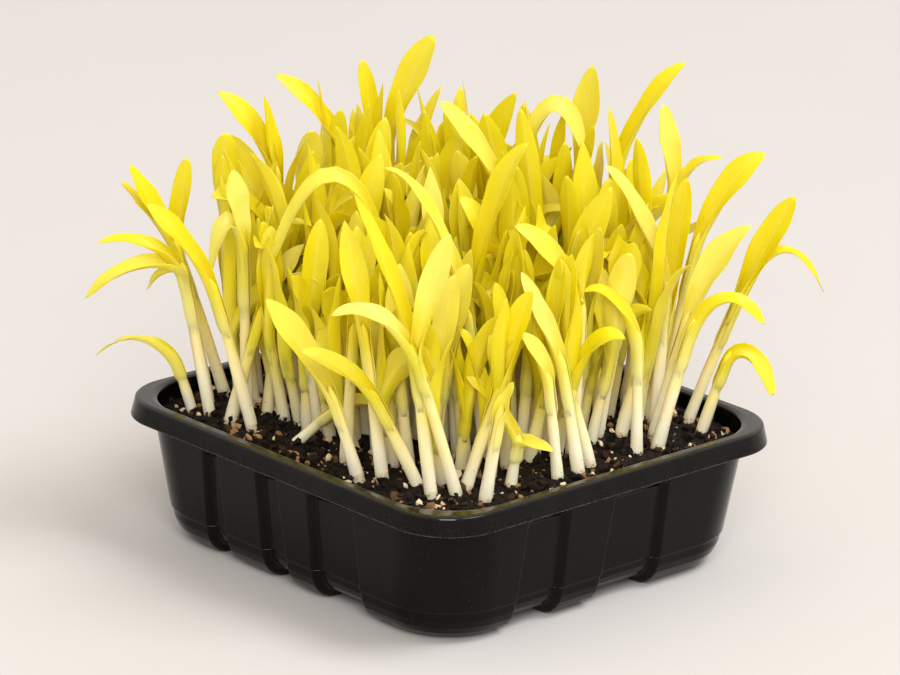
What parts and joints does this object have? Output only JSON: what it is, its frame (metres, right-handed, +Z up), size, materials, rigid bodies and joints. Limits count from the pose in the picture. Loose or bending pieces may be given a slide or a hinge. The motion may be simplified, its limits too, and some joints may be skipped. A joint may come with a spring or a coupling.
{
  "type": "corn microgreens tray",
  "caption": "Black moulded plastic tray filled with peat, with a dense stand of pale yellow corn shoots growing out of it.",
  "frame": {"origin": "middle of the flat middle foot under the tray, on the plane that the tray stands on", "axes": "+Z up; X along the tray's longer side, Y along its shorter side; the tray's two side walls face +X and -X"},
  "size_m": [0.1756, 0.194, 0.1576],
  "materials": {
    "tray_plastic": "black moulded plastic with a soft sheen, finely grained, with fine scuffs",
    "peat": "dark brown crumbly peat with pale and golden mineral grains",
    "shoots": "waxy leaf: creamy white at the foot, lemon yellow in the blades, with fine lengthwise veins"
  },
  "bodies": {
    "root": {"tray": "tray_plastic", "growing_medium": "peat", "shoot_arch_back": "shoots", "shoot_back_left": "shoots", "shoot_back_right": "shoots", "shoot_bent_back": "shoots", "shoot_big_arch": "shoots", "shoot_bright_middle": "shoots", "shoot_broad_left": "shoots", "shoot_broad_middle": "shoots", "shoot_broad_right": "shoots", "shoot_broad_upright": "shoots", "shoot_crossing": "shoots", "shoot_crown": "shoots", "shoot_edge_broad": "shoots", "shoot_far_left": "shoots", "shoot_feather": "shoots", "shoot_flat_tip": "shoots", "shoot_folded": "shoots", "shoot_front_arch": "shoots", "shoot_front_lean": "shoots", "shoot_front_right": "shoots", "shoot_front_short": "shoots", "shoot_front_upright": "shoots", "shoot_hook_right": "shoots", "shoot_lean_left": "shoots", "shoot_lean_right": "shoots", "shoot_low_left": "shoots", "shoot_low_right": "shoots", "shoot_pale_back": "shoots", "shoot_pale_front": "shoots", "shoot_pale_right": "shoots", "shoot_pointed_back": "shoots", "shoot_right_arch": "shoots", "shoot_right_broad": "shoots", "shoot_right_lean": "shoots", "shoot_right_second": "shoots", "shoot_second_upright": "shoots", "shoot_sown_003": "shoots", "shoot_sown_006": "shoots", "shoot_sown_011": "shoots", "shoot_sown_014": "shoots", "shoot_sown_015": "shoots", "shoot_sown_018": "shoots", "shoot_sown_020": "shoots", "shoot_sown_022": "shoots", "shoot_sown_026": "shoots", "shoot_sown_027": "shoots", "shoot_sown_028": "shoots", "shoot_sown_032": "shoots", "shoot_front_third": "shoots", "shoot_sown_017": "shoots", "shoot_front_second": "shoots", "shoot_sown_031": "shoots", "shoot_sprout": "shoots", "shoot_tallest": "shoots", "shoot_thin_arch": "shoots", "shoot_twin_left": "shoots", "shoot_upright_left": "shoots", "shoot_upright_second": "shoots"}
  },
  "joints": []
}
